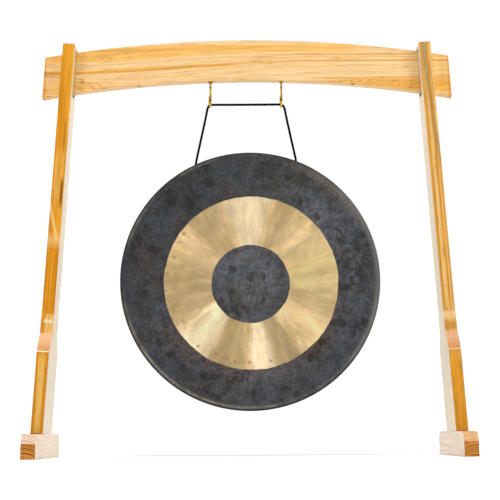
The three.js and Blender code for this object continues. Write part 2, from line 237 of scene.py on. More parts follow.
def pine_grain_group():
    """Growth rings round a pith that lies beside the board, with fibres, resin and short dashes."""
    group, given = new_group(
        "Pine grain",
        [
            ("Place", VECTOR, None), ("Pith Y", FLOAT, 0.08), ("Pith Z", FLOAT, 0.05),
            ("Ring Spacing", FLOAT, 0.009), ("Wander", FLOAT, 0.02),
        ],
        [
            ("Bent", VECTOR), ("Latewood", FLOAT), ("Tone", FLOAT), ("Fibre", FLOAT),
            ("Resin", FLOAT), ("Dash", FLOAT), ("Height", FLOAT),
        ],
    )
    place = given["Place"]
    drift = noise(group, stretched(group, place, (0.22, 1.0, 1.0)), 7.0, 2.0, 0.45, "Color")
    drift = vector_maths(group, "SUBTRACT", drift, (0.5, 0.5, 0.5))
    drift = node(group, "ShaderNodeVectorMath", {"operation": "SCALE"}, i0=drift, Scale=given["Wander"])
    bent = vector_maths(group, "ADD", place, drift.outputs["Vector"])
    parts = split(group, bent)
    across = minus(group, parts["Y"], given["Pith Y"])
    upward = minus(group, parts["Z"], given["Pith Z"])
    squares = plus(group, times(group, across, across), times(group, upward, upward))
    count = maths(group, "DIVIDE", maths(group, "SQRT", squares), given["Ring Spacing"])
    count = plus(group, count, times(group, noise_along(group, count, 0.6, 1.0), 1.6))
    ring = maths(group, "FLOOR", count)
    weight = node(group, "ShaderNodeTexWhiteNoise", {"noise_dimensions": "1D"}, W=ring).outputs["Value"]
    weight = ramp(group, weight, 0.0, 1.0, 0.2, 1.0)
    late = times(group, hump(group, maths(group, "FRACT", count), 0.4, 0.9, 0.9, 1.0), weight)
    broken = drawn_out(group, place, (4.5, 30.0, 30.0), 2.0, 0.5)
    late = times(group, late, ramp(group, broken, 0.36, 0.6, 0.15, 1.0))
    thin = hump(group, maths(group, "FRACT", times(group, count, 2.7)), 0.3, 0.8, 0.85, 1.0)
    thin = times(group, thin, ramp(group, broken, 0.4, 0.66, 0.5, 0.0))
    late = maths(group, "MAXIMUM", late, thin)
    fine = drawn_out(group, bent, (9.0, 330.0, 330.0), 3.0, 0.6)
    resin = drawn_out(group, bent, (60.0, 520.0, 520.0), 1.0, 0.5)
    dash = drawn_out(group, bent, (22.0, 300.0, 260.0), 2.0, 0.6)
    patchy = drawn_out(group, bent, (6.0, 40.0, 40.0), 1.0, 0.5)
    patchy = ramp(group, patchy, 0.38, 0.62, 0.25, 1.0)
    return closed_group(
        group, Bent=bent, Latewood=late,
        Tone=noise(group, stretched(group, bent, (1.2, 14.0, 14.0)), 1.6, 2.0, 0.5),
        Fibre=fine, Resin=ramp(group, resin, 0.66, 0.74),
        Dash=times(group, ramp(group, dash, 0.54, 0.66), patchy),
        Height=plus(group, times(group, late, 0.6), times(group, fine, 0.4)),
    )


def knot_group():
    """Pushes the grain aside, up and down, round one small knot."""
    group, given = new_group(
        "Knot",
        [("Place", VECTOR, None), ("Middle", VECTOR, None), ("Length", FLOAT, 0.03), ("Push", FLOAT, 0.0)],
        [("Pushed", VECTOR)],
    )
    away = vector_maths(group, "SUBTRACT", given["Place"], given["Middle"])
    side = split(group, away)["Z"]
    away = vector_maths(group, "LENGTH", stretched(group, away, (0.28, 0.4, 1.0)))
    near = maths(group, "DIVIDE", away, given["Length"])
    push = maths(group, "EXPONENT", times(group, near, near, -4.0))
    way = maths(group, "DIVIDE", side, plus(group, maths(group, "ABSOLUTE", side), 0.001))
    pushed = times(group, push, given["Push"], way, -1.0)
    moved = node(group, "ShaderNodeCombineXYZ", X=0.0, Y=0.0, Z=pushed).outputs[0]
    return closed_group(group, Pushed=vector_maths(group, "ADD", given["Place"], moved))


def flame_group():
    """Pointed arches of late wood, where the saw has run along a ring.

    They open to the right of the tip, or to its left where the length is negative.
    """
    group, given = new_group(
        "Flame",
        [
            ("Place", VECTOR, None), ("Tip", VECTOR, None), ("Length", FLOAT, 0.1),
            ("Half Width", FLOAT, 0.015), ("Arches", FLOAT, 5.0),
        ],
        [("Lines", FLOAT)],
    )
    parts = split(group, vector_maths(group, "SUBTRACT", given["Place"], given["Tip"]))
    along = maths(group, "DIVIDE", parts["X"], given["Length"])
    across = maths(group, "ABSOLUTE", maths(group, "DIVIDE", parts["Z"], given["Half Width"]))
    inward = minus(group, along, times(group, across, plus(group, across, 0.25)))
    shaken = drawn_out(group, given["Place"], (30.0, 30.0, 150.0), 2.0, 0.6)
    inward = plus(group, inward, times(group, minus(group, shaken, 0.5), 0.35))
    arch = maths(group, "FRACT", times(group, inward, given["Arches"]))
    line = hump(group, arch, 0.45, 0.8, 0.86, 1.0)
    inside = times(group, ramp(group, inward, 0.0, 0.12), fade(group, along, 0.75, 1.0))
    return closed_group(group, Lines=times(group, line, inside))


def facing(tree, normal, axis, low, high):
    """How far the surface faces along one axis, either way."""
    return ramp(tree, maths(tree, "ABSOLUTE", split(tree, normal)[axis]), low, high)


def streak(tree, across, along, centre, half, begin, end, slope=0.0, soft=0.04, edge=0.6):
    """A long streak of growth: centre and half its width across the board, begin and end along it."""
    middle = plus(tree, times(tree, along, slope), centre)
    off = maths(tree, "ABSOLUTE", minus(tree, across, middle))
    running = hump(tree, along, begin - soft, begin + soft, end - soft, end + soft)
    return times(tree, fade(tree, off, half * edge, half), running)


def within(tree, value, low, high, soft):
    """1 between low and high, easing off over soft on each side."""
    return hump(tree, value, low - soft, low, high, high + soft)


HONEY = (0.68, 0.375, 0.10)
AMBER = (0.56, 0.27, 0.042)
BROWN = (0.36, 0.13, 0.025)
SIDE_SHEEN = (0.80, 0.69, 0.53)
MARK = (0.24, 0.075, 0.010)
LEDGE_HIGHLIGHT = (1.0, 0.86, 0.66)
HOLLOW_SHADE = (0.06, 0.022, 0.01)


def pine(
    name, grain, board, pith, spacing, wander, colours,
    streaks=(), knots=(), drop=None, faces=(), hollow=None, spots=(), dashes=0.35, late_share=0.75,
    flames=(), washes=(), ledge=None,
):
    """Varnished pine.

    board: turn and shift that lay the grain along X, with the board's width along Z.
    colours: early wood, its second tone, late wood. streaks: (colour, share, and streak's values).
    knots: place, length and push of each. drop: (begin, end, amount) of the grain's fall to one end.
    faces: (axis, low, high, colour, how much grain shows, how dark it is).
    hollow: lowest and highest corner of a mortise whose walls get painted shade. spots: dark marks, as
    (along, depth, across, half length, half height, strength). dashes: how strong the short dark fibres
    are. late_share: how strong the late wood is. flames: pointed arches, as (tip, length, half width, how
    many, strength, colour). washes: (begin, end, soft, tint) along the board. ledge: where a painted
    highlight runs along a sharp edge, and how much.
    """
    early, second, late = colours
    rings, knot, flame = grain
    material, tree, shader, place = new_material(name)
    turn, shift = board
    laid = node(
        tree, "ShaderNodeMapping", {"vector_type": "POINT"},
        Vector=place["Object"], Location=shift, Rotation=turn,
    ).outputs["Vector"]
    parts = split(tree, laid)
    along = parts["X"]
    where = laid
    if drop:
        lift = ramp(tree, along, *drop, 0.0)
        lift = times(tree, lift, ramp(tree, parts["Z"], 0.0, 0.04, 1.0, 0.25))
        lifted = plus(tree, parts["Z"], lift)
        where = node(tree, "ShaderNodeCombineXYZ", X=along, Y=parts["Y"], Z=lifted).outputs[0]
    for middle, length, push in knots:
        where = use_group(tree, knot, Place=where, Middle=middle, Length=length, Push=push)["Pushed"]
    wood = use_group(
        tree, rings, Place=where, Pith_Y=pith[0], Pith_Z=pith[1], Ring_Spacing=spacing, Wander=wander,
    )

    colour = mixed(tree, ramp(tree, wood["Tone"], 0.35, 0.68), early, second)
    colour = mixed(tree, times(tree, wood["Latewood"], late_share), colour, late)
    across = split(tree, wood["Bent"])["Z"]
    for paint, strength, *values in streaks:
        drawn = streak(tree, across, along, *values)
        colour = mixed(tree, times(tree, drawn, strength), colour, paint)
    for tip, length, half, arches, strength, paint in flames:
        drawn = use_group(
            tree, flame, Place=wood["Bent"], Tip=tip, Length=length, Half_Width=half, Arches=arches,
        )["Lines"]
        colour = mixed(tree, times(tree, drawn, strength), colour, paint)
    colour = mixed(tree, times(tree, wood["Resin"], 0.4), colour, late)
    colour = mixed(tree, times(tree, wood["Dash"], dashes), colour, late)

    for axis, low, high, paint, shows, dark in faces:
        deeper = (paint[0] * dark, paint[1] * dark ** 1.8, paint[2] * dark ** 2.8)
        grained = mixed(tree, times(tree, wood["Latewood"], shows), paint, deeper)
        colour = mixed(tree, facing(tree, place["Normal"], axis, low, high), colour, grained)
    ragged = times(tree, drawn_out(tree, where, (150.0, 150.0, 300.0), 2.0, 0.6), 0.9)
    for far, deep, height, half, high, strength in spots:
        off = vector_maths(tree, "SUBTRACT", laid, (far, deep, height))
        off = vector_maths(tree, "LENGTH", stretched(tree, off, (1 / half, 125.0, 1 / high)))
        off = plus(tree, off, ragged)
        colour = mixed(tree, ramp(tree, off, 0.9, 1.5, strength, 0.0), colour, MARK)
    colour = shaded(tree, colour, ramp(tree, wood["Fibre"], 0.28, 0.72, 0.82, 1.10))

    edgeways = minus(tree, 1.0, facing(tree, place["Normal"], "X", 0.5, 0.8))
    for begin, end, soft, tint in washes:
        washed = times(tree, within(tree, along, begin, end, soft), edgeways)
        colour = mixed(tree, washed, colour, tint, "MULTIPLY")
    # Painted highlight: a thin pale line along the ledge's sharp edge, where the step faces up
    if ledge:
        edge, strength = ledge
        brightened = times(tree, within(tree, along, edge - 0.0007, edge + 0.0007, 0.0006), strength, edgeways)
        colour = mixed(tree, brightened, colour, LEDGE_HIGHLIGHT)
    if hollow:
        # Painted shade: the walls inside the mortise painted nearly black
        inside = 1.0
        for axis, low, high in zip("XYZ", *hollow):
            inside = times(tree, inside, within(tree, parts[axis], low, high, 0.0004))
        colour = mixed(tree, inside, colour, HOLLOW_SHADE)
    give(tree, colour, shader.inputs["Base Color"])
    give(tree, ramp(tree, wood["Fibre"], 0.2, 0.8, 0.36, 0.5), shader.inputs["Roughness"])
    give(tree, bump(tree, wood["Height"], 0.00012), shader.inputs["Normal"])
    shader.inputs["Specular IOR Level"].default_value = 0.08
    shader.inputs["Coat Weight"].default_value = 0.03
    shader.inputs["Coat Roughness"].default_value = 0.18
    return material


def beam_pine(grain):
    front = -0.0125
    return pine(
        "beam_pine", grain, ((0, 0, 0), (0, -0.004, -0.937)), (0.16, -0.30), 0.0048, 0.008,
        ((0.71, 0.50, 0.265), (0.70, 0.46, 0.22), (0.54, 0.27, 0.06)),
        streaks=(
            (HONEY, 0.95, 0.0325, 0.0115, -0.6, 0.26),
            (AMBER, 0.35, 0.0355, 0.004, -0.6, 0.05),
            (AMBER, 0.85, 0.0, 0.0022, 0.0, 0.6),
            (AMBER, 1.0, -0.001, 0.0040, -0.6, -0.02),
            (HONEY, 0.8, 0.004, 0.0036, -0.6, -0.2),
            (BROWN, 0.35, -0.004, 0.009, -0.6, -0.44),
            (HONEY, 0.9, -0.060, 0.018, 0.17, 0.6),
            (AMBER, 0.6, -0.0415, 0.0022, 0.17, 0.6),
            (HONEY, 0.6, -0.040, 0.024, -0.6, -0.37),
            ((0.66, 0.33, 0.06), 0.55, -0.060, 0.017, 0.31, 0.47, 0.0, 0.07),
        ),
        knots=(
            ((0.376, front, -0.058), 0.022, 0.007),
            ((0.377, front, -0.0134), 0.012, 0.003),
            ((-0.30, front, -0.052), 0.016, 0.005),
            ((0.30, front, -0.05), 0.016, 0.005),
        ),
        drop=(-0.46, 0.16, 0.0275),
        faces=(
            ("Z", 0.7, 0.95, (0.66, 0.43, 0.20), 0.4, 0.7),
            ("X", 0.93, 0.99, (0.62, 0.32, 0.10), 0.8, 0.7),
        ),
        flames=(
            ((-0.318, front, -0.046), -0.13, 0.050, 5.0, 0.8, (0.54, 0.24, 0.035)),
            ((0.14, front, -0.052), 0.36, 0.018, 9.0, 1.0, (0.48, 0.20, 0.03)),
        ),
        late_share=0.85, dashes=0.7,
        washes=(
            # The first two are painted light: the beam lifted paler beside each leg, where the leg shades
            # it
            (-0.448, -0.434, 0.022, (1.14, 1.09, 0.95)),
            (0.436, 0.447, 0.024, (1.20, 1.13, 0.88)),
            (0.47, 0.6, 0.02, (0.97, 0.90, 0.72)),
            (-0.6, -0.484, 0.006, (0.84, 0.66, 0.42)),
            (0.484, 0.6, 0.006, (0.84, 0.70, 0.50)),
        ),
        spots=(
            (-0.394, front, -0.0506, 0.0060, 0.0038, 0.6),
            (0.383, front, -0.0154, 0.0080, 0.0014, 0.55),
            (0.352, front, -0.0125, 0.0060, 0.0013, 0.3),
            (-0.2585, front + 0.005, -0.0590, 0.0050, 0.0025, 0.8),
            (0.252, front + 0.004, -0.0590, 0.0075, 0.0032, 1.0),
            (0.322, front, -0.0423, 0.0090, 0.0018, 0.4),
            (0.3905, front, -0.0674, 0.0050, 0.0024, 0.6),
            (-0.4747, front, -0.0846, 0.0090, 0.0018, 0.6),
            (-0.4485, front, -0.0775, 0.0035, 0.0035, 0.6),
            (-0.482, front, -0.0698, 0.0060, 0.0014, 0.5),
            (-0.484, front, -0.0260, 0.0070, 0.0022, 0.45),
            (-0.1907, front, -0.0171, 0.0070, 0.0014, 0.5),
            (-0.145, front, -0.0260, 0.0080, 0.0013, 0.3),
            (-0.02, front, -0.0280, 0.0080, 0.0013, 0.3),
        ),
    )


def leg_board(side):
    """Turn and shift that lay a leg's grain along X from its foot, and its thickness along Z."""
    turn = (0, HALF_TURN + side * LEAN, 0)
    foot_point = Vector((side * FOOT_MIDDLE, 0, FOOT_TOP))
    foot_point.rotate(Euler(turn))
    return turn, tuple(-foot_point)


# The routed slope above the ledge: browner at its foot, paler at its top
SHOULDER_WASHES = (
    (0.1865, 0.194, 0.016, (0.92, 0.82, 0.62)),
    (0.217, 0.229, 0.008, (1.08, 1.10, 1.16)),
)
# A leg's mortise, whose walls get painted shade: its lowest and highest corner, along the leg, from front
# to back and through it
MORTISE = ((0.80, -0.0137, -0.0142), (0.912, 0.0170, 0.0142))


def leg_faces(slope):
    """Paint by facing on a leg's slope, end grain and broad sides, with painted light on each."""
    return (
        # Slope facing up: paler routed wood, and a painted highlight where it faces the light above
        ("Z", 0.2, 0.45, slope, 0.3, 0.7),
        # Facing up or down: pale end grain, which also puts a painted highlight on the ledge's top
        ("Z", 0.9, 0.97, (0.84, 0.74, 0.60), 0.3, 0.7),
        # Broad sides: painted pale, as a painted sheen of the white surroundings seen at a glance
        ("X", 0.75, 0.95, SIDE_SHEEN, 0.12, 0.7),
    )


def left_leg_pine(grain):
    dark_edge = (0.54, 0.20, 0.003)
    dark_line = (0.36, 0.13, 0.010)
    return pine(
        "left_leg_pine", grain, leg_board(-1), (0.10, 0.13), 0.006, 0.009,
        ((0.63, 0.29, 0.025), (0.56, 0.22, 0.008), (0.42, 0.15, 0.006)),
        streaks=(
            ((0.67, 0.40, 0.10), 0.85, 0.0005, 0.0085, 0.0, 0.185),
            (dark_edge, 0.9, 0.0138, 0.0050, -0.2, 0.19, 0.0, 0.004),
            (dark_edge, 0.85, -0.0128, 0.0050, -0.2, 0.19, 0.0, 0.004),
            (dark_edge, 0.7, 0.0135, 0.0040, 0.27, 0.44, 0.0, 0.02),
            ((0.52, 0.19, 0.002), 0.8, -0.0120, 0.0070, 0.27, 0.44, 0.0, 0.02),
            ((0.66, 0.38, 0.09), 0.5, 0.0, 0.012, 0.545, 0.655, 0.0, 0.03),
            ((0.66, 0.40, 0.13), 0.7, 0.0, 0.03, 0.432, 0.462, 0.0, 0.01),
            ((0.70, 0.45, 0.16), 0.8, -0.1200, 0.0045, 0.450, 0.545, 0.2526, 0.02),
            (dark_line, 0.75, -0.1130, 0.0012, 0.468, 0.520, 0.2526, 0.01),
            (dark_line, 0.65, -0.1085, 0.0010, 0.460, 0.500, 0.2526, 0.01),
            ((0.20, 0.055, 0.004), 0.95, -0.0095, 0.0046, 0.530, 0.592, 0.0, 0.014, 0.3),
            # The next two are a painted highlight in the cove above the shoulder: a pale patch and a whiter
            # band
            ((0.78, 0.50, 0.20), 0.55, -0.0050, 0.0100, 0.228, 0.274, 0.0, 0.003, 0.8),
            ((0.95, 0.80, 0.64), 0.55, -0.0030, 0.0120, 0.2545, 0.2610, 0.0, 0.003, 0.7),
            (dark_line, 0.7, -0.0075, 0.0040, 0.66, 0.74, 0.0, 0.02, 0.3),
            ((0.38, 0.15, 0.012), 0.6, -0.0020, 0.0014, 0.575, 0.64, 0.0, 0.02, 0.3),
            ((0.42, 0.16, 0.008), 0.7, 0.0110, 0.0045, 0.755, 0.800, 0.0, 0.02, 0.4),
        ),
        late_share=0.45,
        faces=leg_faces((0.74, 0.42, 0.21)), hollow=MORTISE, ledge=(0.1862, 0.85),
        washes=(
            # The wash that begins at -0.02 is painted shade: a dark line where the leg stands on its foot
            *SHOULDER_WASHES, (-0.02, 0.0012, 0.0012, (0.22, 0.18, 0.14)),
            (0.290, 0.432, 0.02, (0.94, 0.88, 0.70)),
        ),
    )


def right_leg_pine(grain):
    return pine(
        "right_leg_pine", grain, leg_board(1), (0.12, -0.16), 0.0046, 0.005,
        ((0.63, 0.39, 0.13), (0.58, 0.31, 0.07), (0.40, 0.16, 0.02)),
        streaks=(
            ((0.26, 0.19, 0.09), 0.8, -0.0375, 0.0062, 0.64, 1.2, 0.045),
            ((0.48, 0.18, 0.008), 0.9, -0.0037, 0.0022, 0.28, 1.2),
            ((0.66, 0.43, 0.17), 0.7, 0.0030, 0.0030, 0.30, 0.80),
            ((0.46, 0.19, 0.02), 0.7, 0.0086, 0.0018, 0.30, 0.80),
            ((0.44, 0.18, 0.02), 0.6, -0.0105, 0.0016, 0.30, 0.62),
            ((0.58, 0.245, 0.014), 0.95, 0.0, 0.03, -0.2, 0.185),
            # The next two: a painted highlight in the cove, and painted shade on the flat below it
            ((0.82, 0.55, 0.29), 0.6, 0.0, 0.03, 0.257, 0.276, 0.0, 0.004),
            ((0.44, 0.17, 0.02), 0.6, 0.0, 0.03, 0.234, 0.250, 0.0, 0.004),
        ),
        late_share=0.7, dashes=0.6,
        faces=leg_faces((0.64, 0.34, 0.165)), hollow=MORTISE, ledge=(0.1862, 0.4),
        # The wash that begins at -0.02 is painted shade: a dark line where the leg stands on its foot
        washes=(*SHOULDER_WASHES, (-0.02, 0.0010, 0.0012, (0.6, 0.4, 0.3))),
    )


def foot_pine(grain, word, side, spacing, top):
    return pine(
        f"{word}_foot_pine", grain, ((0, 0, -HALF_TURN), (side * 0.7, side * FOOT_MIDDLE, -0.02)),
        (-0.012 * side, -0.05), spacing, 0.010,
        (top, tuple(part * 1.05 for part in top), (0.55, 0.28, 0.11)),
        faces=(
            # Broad sides: painted pale, as a painted sheen of the white surroundings seen at a glance
            ("X", 0.75, 0.95, (0.87, 0.71, 0.56), 0.12, 0.7),
            ("Y", 0.86, 0.94, (0.62, 0.27, 0.05), 2.2, 0.3),
        ),
    )


# Gong bronze

# Burnt blotches of the dark skin: angle, distance from the gong's middle and size in mm
BLOTCHES = (
    (86, 252, 20), (78, 250, 14), (69, 262, 12), (112, 256, 16), (132, 286, 12), (137, 272, 16),
    (162, 237, 17), (159, 279, 13), (23, 237, 20), (57, 221, 9), (10, 235, 16), (43, 216, 11),
    (186, 247, 13), (215, 261, 15), (223, 254, 16), (233, 261, 14), (251, 243, 12), (271, 262, 11),
    (286, 267, 14), (307, 230, 15), (317, 222, 15), (334, 234, 20), (354, 219, 13), (319, 281, 12),
    (80, 8, 18), (215, 52, 12), (150, 50, 12), (300, 60, 10), (40, 55, 10),
)
# Painted light and shade on the skin, its lighter and darker sides: angle, half the spread, gain, and how
# far out it goes
LEVELS = (
    (145, 70, -0.36, 0.4), (45, 45, 0.24, 0.245), (88, 36, -0.30, 0.4), (225, 30, -0.1, 0.4),
    (275, 32, 0.13, 0.24), (318, 16, -0.22, 0.232),
)
# Where the skin has flaked to brown round the ring: angle and half width in degrees, and how much
FLAKED = ((238, 40, 0.75), (320, 14, 0.75), (140, 8, 0.4), (104, 6, 0.35), (45, 8, 0.75))
# A painted reflection along the bend into the rim, which is painted bright: angle and half width in
# degrees, and how much
BEND_REFLECTION = ((240, 62, 1.0), (322, 40, 0.5), (150, 16, 0.5), (115, 12, 0.4))
RING_MIDDLE = Vector((2.2, 0, -7.0)) * MM
# The scraped ring's outer and inner circle: centre, and where the edge begins and ends
RING_OUTSIDE = (RING_MIDDLE, 0.2082, 0.2092)
RING_INSIDE = ((0.0005, 0, -0.0104), 0.0956, 0.0966)
# Fans of light on the ring: angle, half width in degrees and how much brighter
FANS = (
    (319, 17, 0.46), (279, 12, 0.22), (227, 18, 0.50), (8, 28, 0.32), (48, 16, 0.16),
    (150, 14, 0.16), (182, 20, 0.14), (252, 15, -0.22), (293, 12, -0.26), (96, 14, -0.17),
    (30, 12, -0.12), (350, 12, 0.08), (70, 8, 0.10), (268, 8, -0.10),
)
# Where the fans of light are painted paler, as a whiter painted highlight: angle and half width in degrees
PALE_FANS = ((92, 20), (227, 18), (279, 12))
# Each dent in the ring: angle, distance from the ring's centre, width and depth in mm
DENTS = (
    (143.5, 197, 8.5, 0.7), (149.8, 192, 7, 0.5), (161.3, 192, 8, 0.6), (173.5, 199, 7.5, 0.7),
    (184.9, 202, 7, 0.6), (229.9, 195, 8, 0.7), (243.8, 186, 8.5, 0.7), (252, 187, 7, 0.6),
    (258, 190, 7.5, 0.6), (268.4, 188, 8, 0.7), (283.6, 190, 8, 0.6), (53.2, 193, 7, 0.5),
)


def on_face(degrees, away):
    """A point of the gong's face, by its angle and its distance from the middle."""
    angle = math.radians(degrees)
    return Vector((math.cos(angle), 0, math.sin(angle))) * away


def around(tree, turn, degrees, half):
    """1 in the middle of a sector, 0 outside it."""
    away = maths(tree, "COSINE", minus(tree, turn, math.radians(degrees)))
    return ramp(tree, away, math.cos(math.radians(half)), 1.0)


def fire_skin_group():
    """The gong's dark skin: slate blue and charcoal, finely mottled, with dark blotches."""
    group, given = new_group(
        "Fire skin", [("Place", VECTOR, None)], [("Colour", COLOUR), ("Height", FLOAT)],
    )
    place = given["Place"]
    flat = stretched(group, place, (1, 0, 1))
    broad = ramp(group, noise(group, place, 11.0, 3.0, 0.6), 0.38, 0.62)
    colour = mixed(group, broad, (0.049, 0.053, 0.064), (0.049, 0.046, 0.045))
    cloudy = noise(group, place, 34.0, 4.0, 0.62, distortion=0.6)
    fine = noise(group, place, 170.0, 3.0, 0.7)
    shade = ramp(group, cloudy, 0.32, 0.68, 0.70, 1.32)
    colour = shaded(group, colour, times(group, shade, ramp(group, fine, 0.34, 0.66, 0.66, 1.36)))
    burnt = ramp(group, noise(group, place, 7.0, 1.0, 0.5), 0.5, 0.66, 0.0, 0.5)
    for degrees, away, size in BLOTCHES:
        off = distance(group, flat, on_face(degrees, away * MM))
        burnt = maths(group, "MAXIMUM", burnt, fade(group, off, size * 0.2 * MM, size * 1.2 * MM))
    blotch = noise(group, place, 46.0, 4.0, 0.65, distortion=0.8)
    blotch = ramp(group, plus(group, blotch, times(group, burnt, 0.2)), 0.57, 0.68, 0.0, 0.8)
    colour = mixed(group, blotch, colour, (0.014, 0.011, 0.010))
    specks = ramp(group, fine, 0.66, 0.74)
    brown_area = ramp(group, noise(group, place, 9.0, 2.0, 0.5), 0.52, 0.64)
    colour = mixed(group, times(group, specks, brown_area), colour, (0.17, 0.09, 0.045))
    height = plus(group, times(group, cloudy, 0.5), times(group, fine, 0.4))
    return closed_group(group, Colour=colour, Height=height)


def skin_marks_and_painted_light(tree, colour, where, angle, radius):
    """Gives the skin painted lighter and darker sides, brown flakes round the ring, painted light, shade
    and reflection at the bend, and a scuffed patch next to it.
    """
    level = times(
        tree, ramp(tree, radius, 0.10, 0.12, 1.46, 1.22), ramp(tree, radius, 0.245, 0.262, 1.0, 0.88),
        ramp(tree, radius, 0.060, 0.076, 1.0, 0.82),
    )
    for degrees, half, gain, reach in LEVELS:
        share = times(
            tree, around(tree, angle, degrees, half), ramp(tree, radius, 0.10, 0.12, 0.0, gain),
            fade(tree, radius, reach, reach + 0.025),
        )
        level = times(tree, level, plus(tree, share, 1.0))
    colour = shaded(tree, colour, level)
    close = hump(tree, radius, 0.195, 0.2, 0.215, 0.255)
    rusty = times(tree, around(tree, angle, 288, 85), close)
    colour = mixed(tree, rusty, colour, (1.22, 0.98, 0.86), "MULTIPLY")
    speckle = noise(tree, where, 150.0, 3.0, 0.7)
    for degrees, half, much in FLAKED:
        flaked = ramp(tree, speckle, 0.52, 0.64, 0.0, much)
        share = times(tree, around(tree, angle, degrees, half), close, flaked)
        colour = mixed(tree, share, colour, (0.15, 0.075, 0.035))

    # Painted light and shade at the bend: lighter on the lit side, and the turned edge painted near black
    # as painted shade away from it
    lit_side = around(tree, angle, 8, 62)
    bend = times(tree, ramp(tree, radius, 0.290, 0.301), times(tree, lit_side, 0.75))
    colour = mixed(tree, bend, colour, (0.12, 0.122, 0.11))
    turned = times(tree, ramp(tree, radius, 0.3025, 0.3050), fade(tree, lit_side, 0.0, 1.0), 0.85)
    colour = mixed(tree, turned, colour, (0.009, 0.008, 0.007))
    # Painted reflection along the crest of the bend
    brightened = 0.0
    for degrees, half, share in BEND_REFLECTION:
        brightened = maths(tree, "MAXIMUM", brightened, times(tree, around(tree, angle, degrees, half), share))
    crest = hump(tree, radius, 0.2945, 0.2985, 0.3015, 0.3035)
    patchy = ramp(tree, noise(tree, where, 30.0, 4.0, 0.7), 0.4, 0.6, 0.35, 1.0)
    colour = mixed(tree, times(tree, brightened, crest, patchy, 0.9), colour, (0.22, 0.20, 0.155))
    scratches = ramp(tree, noise(tree, where, 320.0, 3.0, 0.75), 0.48, 0.6)
    worn = hump(tree, radius, 0.279, 0.292, 0.296, 0.302)
    scuffed = times(tree, worn, around(tree, angle, 50, 30), scratches, 0.7)
    return mixed(tree, scuffed, colour, (0.28, 0.20, 0.12))


def strokes(tree, angle, radius, fineness):
    """Marks of the scraper, which run outwards from the middle."""
    spokes = node(
        tree, "ShaderNodeCombineXYZ", X=times(tree, maths(tree, "SINE", angle), fineness),
        Y=times(tree, maths(tree, "COSINE", angle), fineness), Z=times(tree, radius, 14.0),
    ).outputs[0]
    return noise(tree, spokes, 1.0, 3.0, 0.6)


def scraped_brass(tree, flat, angle, radius, fine, ragged):
    """Bright metal with the scraper's strokes, fans of light, stains and dull dents."""
    broad = strokes(tree, angle, radius, 7.0)
    calm = hump(tree, radius, 0.12, 0.145, 0.165, 0.19)
    depth = times(tree, ramp(tree, calm, 0.0, 1.0, 0.24, 0.1), 1.8)
    hoops = noise_along(tree, radius, 160.0, 3.0)
    smudged = noise(tree, flat, 24.0, 5.0, 0.7, distortion=0.5)
    shade = times(
        tree, plus(tree, 1.0, times(tree, minus(tree, fine, 0.5), depth)),
        ramp(tree, broad, 0.32, 0.68, 0.88, 1.1), ramp(tree, hoops, 0.3, 0.7, 0.985, 1.015),
        ramp(tree, smudged, 0.3, 0.7, 0.90, 1.09),
    )
    shaken = plus(tree, angle, times(tree, minus(tree, broad, 0.5), 0.35))
    for degrees, half, gain in FANS:
        sector = around(tree, shaken, degrees, half)
        shade = times(tree, shade, plus(tree, times(tree, sector, gain), 1.0))
    pale = 0.0
    for degrees, half in PALE_FANS:
        pale = maths(tree, "MAXIMUM", pale, around(tree, shaken, degrees, half))
    patches = ramp(tree, noise(tree, flat, 16.0, 3.0, 0.55), 0.34, 0.66)
    colour = mixed(tree, patches, (0.73, 0.525, 0.28), (0.69, 0.485, 0.225))
    # Painted highlight: the fans of light paler in PALE_FANS and yellower round 8 degrees
    colour = mixed(tree, times(tree, pale, 0.85), colour, (0.73, 0.585, 0.385))
    colour = mixed(tree, times(tree, around(tree, angle, 8, 34), 0.7), colour, (0.74, 0.56, 0.26))
    stained = times(
        tree, around(tree, angle, 205, 14), ramp(tree, noise(tree, flat, 40.0, 3.0, 0.6), 0.45, 0.62),
        ramp(tree, radius, 0.16, 0.185, 0.0, 0.45),
    )
    colour = mixed(tree, stained, colour, (0.36, 0.22, 0.08))
    colour = shaded(tree, colour, shade)
    for degrees, away, width, deep in DENTS:
        off = distance(tree, flat, RING_MIDDLE + on_face(degrees, away * MM))
        off = plus(tree, off, times(tree, ragged, 0.0015))
        dull = ramp(tree, off, width * 0.35 * MM, width * 0.75 * MM, deep * 0.95, 0.0)
        colour = mixed(tree, dull, colour, (0.28, 0.18, 0.07))
    return colour


